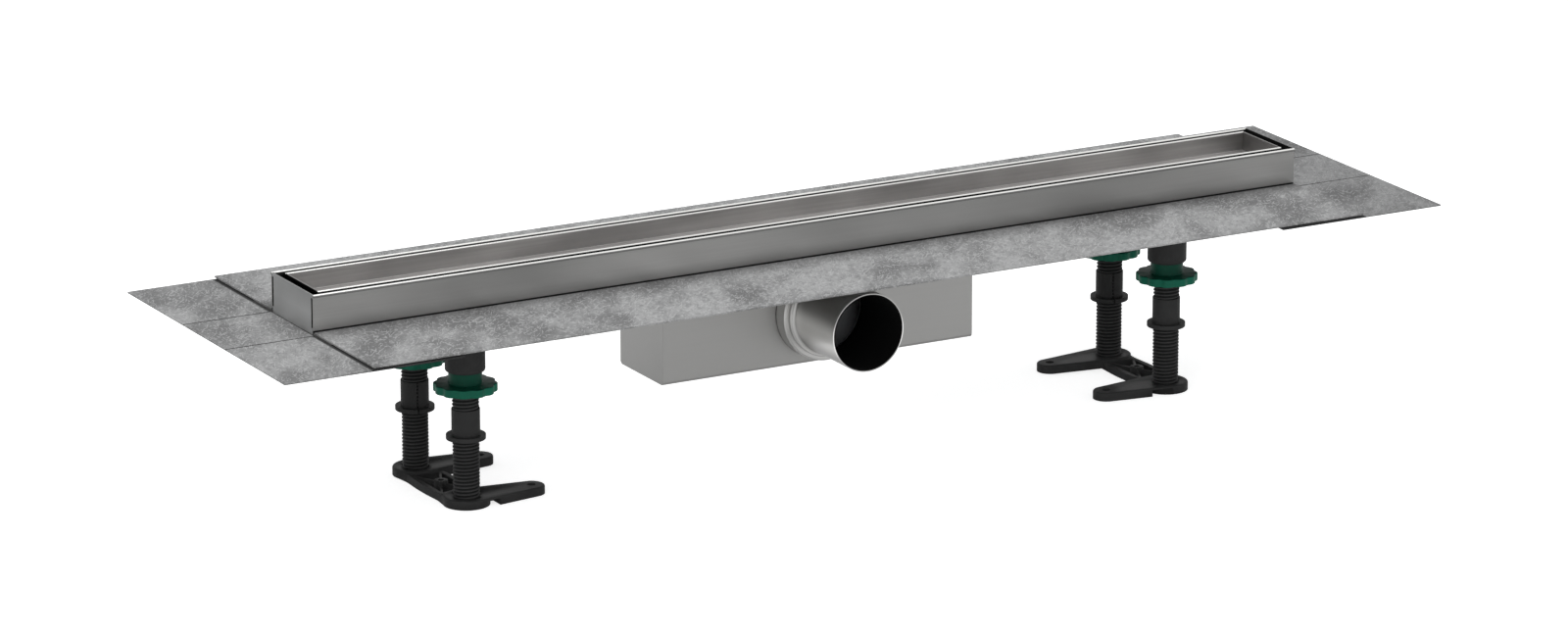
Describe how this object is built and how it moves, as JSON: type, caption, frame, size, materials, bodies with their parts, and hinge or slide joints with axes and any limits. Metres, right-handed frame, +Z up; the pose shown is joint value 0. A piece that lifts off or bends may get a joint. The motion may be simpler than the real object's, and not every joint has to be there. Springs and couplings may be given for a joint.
{
  "type": "linear shower drain",
  "caption": "Linear shower drain: steel channel with tile tray, fleece sealing collar, trap box with side outlet, and four screw legs on two foot plates.",
  "frame": {"origin": "on the floor under the middle of the channel", "axes": "+X along the channel, +Z up, the outlet towards -Y"},
  "size_m": [0.8174, 0.224, 0.1454],
  "materials": {
    "stainless_steel": "brushed, with a bright rim",
    "fleece": "matt nonwoven",
    "butyl_tape": "matt",
    "gasket_rubber": "matt",
    "grey_plastic": "moulded",
    "black_plastic": "moulded, satin",
    "green_plastic": "moulded, satin"
  },
  "bodies": {
    "root": {"channel_body": "stainless_steel", "collar_front": "fleece", "collar_left": "fleece", "collar_rear": "fleece", "collar_right": "fleece", "cup_screws": "stainless_steel", "dip_tube": "grey_plastic", "end_flange_left": "stainless_steel", "end_flange_right": "stainless_steel", "end_plate_left": "stainless_steel", "end_plate_right": "stainless_steel", "hair_strainer": "grey_plastic", "leg_bracket_left": "stainless_steel", "leg_bracket_right": "stainless_steel", "leg_cup_left_front": "black_plastic", "leg_cup_left_rear": "black_plastic", "leg_cup_right_front": "black_plastic", "leg_cup_right_rear": "black_plastic", "outlet_spigot": "stainless_steel", "seam_tape_left_front": "butyl_tape", "seam_tape_left_rear": "butyl_tape", "seam_tape_right_front": "butyl_tape", "seam_tape_right_rear": "butyl_tape", "side_flange_front": "stainless_steel", "side_flange_rear": "stainless_steel", "tile_tray": "stainless_steel", "trap_box": "stainless_steel", "trap_gasket": "gasket_rubber", "trap_tub": "grey_plastic", "tray_support_1": "stainless_steel", "tray_support_2": "stainless_steel", "tray_support_3": "stainless_steel", "tray_support_4": "stainless_steel"},
    "foot_left": {"foot_plate_left": "black_plastic", "leg_rod_left_front": "black_plastic", "leg_rod_left_rear": "black_plastic", "leg_sleeve_left_front": "black_plastic", "leg_sleeve_left_rear": "black_plastic"},
    "nut_left_front": {"leg_nut_left_front": "green_plastic"},
    "nut_left_rear": {"leg_nut_left_rear": "green_plastic"},
    "foot_right": {"foot_plate_right": "black_plastic", "leg_rod_right_front": "black_plastic", "leg_rod_right_rear": "black_plastic", "leg_sleeve_right_front": "black_plastic", "leg_sleeve_right_rear": "black_plastic"},
    "nut_right_front": {"leg_nut_right_front": "green_plastic"},
    "nut_right_rear": {"leg_nut_right_rear": "green_plastic"}
  },
  "joints": [
    {"name": "foot_left_height", "type": "slide", "parent": "root", "child": "foot_left", "axis": [0, 0, -1], "range_m": [-0.00904, 0.0113]},
    {"name": "nut_left_front_turn", "type": "hinge", "parent": "root", "child": "nut_left_front", "pos_m": [-0.25115, -0.035, 0.0846], "axis": [0, 0, 1], "range_deg": [-1440, 1800]},
    {"name": "nut_left_rear_turn", "type": "hinge", "parent": "root", "child": "nut_left_rear", "pos_m": [-0.25115, 0.035, 0.0846], "axis": [0, 0, 1], "range_deg": [-1440, 1800]},
    {"name": "foot_right_height", "type": "slide", "parent": "root", "child": "foot_right", "axis": [0, 0, -1], "range_m": [-0.00904, 0.0113]},
    {"name": "nut_right_front_turn", "type": "hinge", "parent": "root", "child": "nut_right_front", "pos_m": [0.25115, -0.035, 0.0846], "axis": [0, 0, 1], "range_deg": [-1440, 1800]},
    {"name": "nut_right_rear_turn", "type": "hinge", "parent": "root", "child": "nut_right_rear", "pos_m": [0.25115, 0.035, 0.0846], "axis": [0, 0, 1], "range_deg": [-1440, 1800]}
  ],
  "couplings": [
    {"joint": "nut_left_front_turn", "follows": "foot_left_height", "rad_per_m": 2780.2},
    {"joint": "nut_left_rear_turn", "follows": "foot_left_height", "rad_per_m": 2780.2},
    {"joint": "nut_right_front_turn", "follows": "foot_right_height", "rad_per_m": 2780.2},
    {"joint": "nut_right_rear_turn", "follows": "foot_right_height", "rad_per_m": 2780.2}
  ]
}
